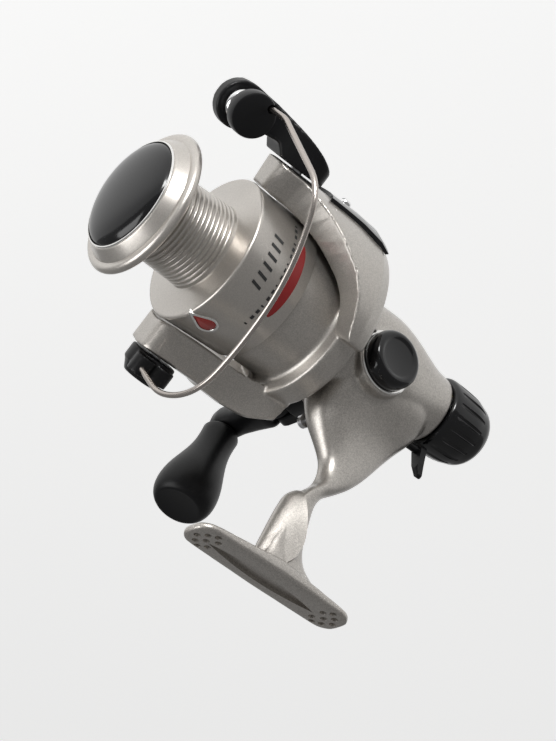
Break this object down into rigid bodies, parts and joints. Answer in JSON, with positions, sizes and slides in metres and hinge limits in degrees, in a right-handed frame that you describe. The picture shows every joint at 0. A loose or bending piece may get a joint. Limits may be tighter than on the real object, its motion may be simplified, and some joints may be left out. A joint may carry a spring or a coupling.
{
  "type": "spinning reel",
  "caption": "Open-face spinning fishing reel with a full wire bail, ventilated rotor, skirted spool, rear drag knob and a folding crank handle.",
  "frame": {"origin": "middle of the rod face of the foot", "axes": "+Z points from the foot into the rod, +X forward along the spool axis, +Y to the handle side"},
  "size_m": [0.1486, 0.1221, 0.1254],
  "materials": {
    "silver_body": "metallic flake paint",
    "silver_rotor": "metallic flake paint",
    "silver_spool": "satin",
    "silver_trim": "bright",
    "gloss_black": "gloss",
    "satin_black": "satin",
    "soft_black": "satin",
    "red_plastic": "gloss",
    "nylon": "matte",
    "felt": "felt",
    "wire_steel": "polished",
    "brass": "machined",
    "cast_alloy": "cast",
    "plate_steel": "stamped",
    "steel": "turned"
  },
  "bodies": {
    "frame": {"housing": "silver_body", "side_cover": "silver_body", "cover_screws": "steel", "dust_cap": "gloss_black", "drive_bushes": "nylon", "bearing_outer": "steel", "bearing_balls": "steel", "bearing_plate": "plate_steel", "plate_screws": "steel", "guide_bar": "steel", "trip_ramp": "satin_black", "drag_washers_fixed": "steel", "drag_stud": "satin_black", "drag_spring": "steel", "pawl_pin": "steel"},
    "reverse_switch": {"anti_reverse_lever": "satin_black", "lever_screw": "steel"},
    "pawl": {"pawl": "plate_steel"},
    "rotor": {"rotor": "silver_rotor", "rotor_nut": "steel", "rotor_washer": "steel", "pinion": "brass", "bearing_inner": "steel", "ratchet_wheel": "plate_steel", "arm_cover": "gloss_black", "arm_cover_screw": "steel", "pivot_studs": "steel", "pivot_screws": "steel", "bail_spring": "steel"},
    "trip_lever": {"trip_lever": "satin_black"},
    "bail": {"bail_lever": "satin_black", "bail_wire": "wire_steel", "pivot_block": "satin_black", "roller_cap": "satin_black", "roller_screw": "steel"},
    "line_roller": {"line_roller": "wire_steel"},
    "carriage": {"slider": "nylon"},
    "spool": {"spool": "silver_spool", "line_clip": "red_plastic", "clip_bezel": "silver_trim", "main_shaft": "steel", "shaft_clips": "steel", "button_spring": "steel"},
    "spool_latch": {"spool_latch": "steel"},
    "spool_button": {"spool_button": "gloss_black"},
    "drag_core": {"drag_sleeve": "brass", "drag_washers_keyed": "felt"},
    "drag_knob": {"drag_knob": "gloss_black"},
    "drag_nut": {"drag_nut": "brass"},
    "crank": {"drive_gear": "cast_alloy", "drive_shaft": "steel", "handle_hub": "satin_black", "fold_pin": "steel"},
    "crank_arm": {"crank_arm": "satin_black", "knob_spindle": "steel"},
    "handle_knob": {"handle_knob": "soft_black"},
    "oscillation_gear": {"oscillation_gear": "nylon"}
  },
  "joints": [
    {"name": "crank_turn", "type": "hinge", "parent": "frame", "child": "crank", "pos_m": [-0.0115, 0, -0.0784], "axis": [0, 1, 0], "continuous": true},
    {"name": "rotor_spin", "type": "hinge", "parent": "frame", "child": "rotor", "pos_m": [0, 0, -0.085], "axis": [1, 0, 0], "continuous": true},
    {"name": "oscillation_turn", "type": "hinge", "parent": "frame", "child": "oscillation_gear", "pos_m": [-0.02423, 0, -0.08575], "axis": [0, 1, 0], "continuous": true},
    {"name": "spool_stroke", "type": "slide", "parent": "frame", "child": "carriage", "axis": [1, 0, 0], "range_m": [-0.01, 0.002]},
    {"name": "spool_turn", "type": "hinge", "parent": "carriage", "child": "spool", "pos_m": [0, 0, -0.085], "axis": [1, 0, 0], "continuous": true},
    {"name": "drag_core_turn", "type": "hinge", "parent": "frame", "child": "drag_core", "pos_m": [0, 0, -0.085], "axis": [1, 0, 0], "continuous": true},
    {"name": "button_press", "type": "slide", "parent": "spool", "child": "spool_button", "axis": [-1, 0, 0], "range_m": [0, 0.0012], "stiffness_N_per_m": 800, "springref_m": -0.001},
    {"name": "latch_shift", "type": "slide", "parent": "spool", "child": "spool_latch", "axis": [0, -1, 0], "range_m": [0, 0.0006]},
    {"name": "bail_swing", "type": "hinge", "parent": "rotor", "child": "bail", "pos_m": [0.0435, 0, -0.085], "axis": [0, 0.6561, 0.7547], "range_deg": [0, 130]},
    {"name": "roller_turn", "type": "hinge", "parent": "bail", "child": "line_roller", "pos_m": [0.069, -0.02591, -0.11481], "axis": [0, -0.7547, 0.6561], "continuous": true},
    {"name": "trip_shift", "type": "slide", "parent": "rotor", "child": "trip_lever", "axis": [1, 0, 0], "range_m": [0, 0.002]},
    {"name": "reverse_lever_turn", "type": "hinge", "parent": "frame", "child": "reverse_switch", "pos_m": [-0.04, 0, -0.0698], "axis": [1, 0, 0], "range_deg": [0, 25]},
    {"name": "pawl_turn", "type": "hinge", "parent": "frame", "child": "pawl", "pos_m": [0.0155, 0.0063, -0.0946], "axis": [1, 0, 0], "range_deg": [-12, 0]},
    {"name": "drag_turn", "type": "hinge", "parent": "frame", "child": "drag_knob", "pos_m": [-0.05, 0, -0.085], "axis": [1, 0, 0], "range_deg": [-90, 90]},
    {"name": "drag_nut_travel", "type": "slide", "parent": "frame", "child": "drag_nut", "axis": [1, 0, 0], "range_m": [-0.0003, 0.0003]},
    {"name": "handle_fold", "type": "hinge", "parent": "crank", "child": "crank_arm", "pos_m": [-0.0115, 0.031, -0.0784], "axis": [-0.9659, 0, 0.2588], "range_deg": [0, 60]},
    {"name": "knob_spin", "type": "hinge", "parent": "crank_arm", "child": "handle_knob", "pos_m": [-0.0115, 0.057, -0.0784], "axis": [0.2588, 0, 0.9659], "continuous": true}
  ],
  "couplings": [
    {"joint": "rotor_spin", "follows": "crank_turn", "ratio": 5.125},
    {"joint": "oscillation_turn", "follows": "crank_turn", "ratio": -0.6},
    {"joint": "drag_core_turn", "follows": "spool_turn", "ratio": 1},
    {"joint": "latch_shift", "follows": "button_press", "ratio": 0.5},
    {"joint": "pawl_turn", "follows": "reverse_lever_turn", "ratio": -0.48},
    {"joint": "drag_nut_travel", "follows": "drag_turn", "m_per_rad": 0.00015915}
  ]
}
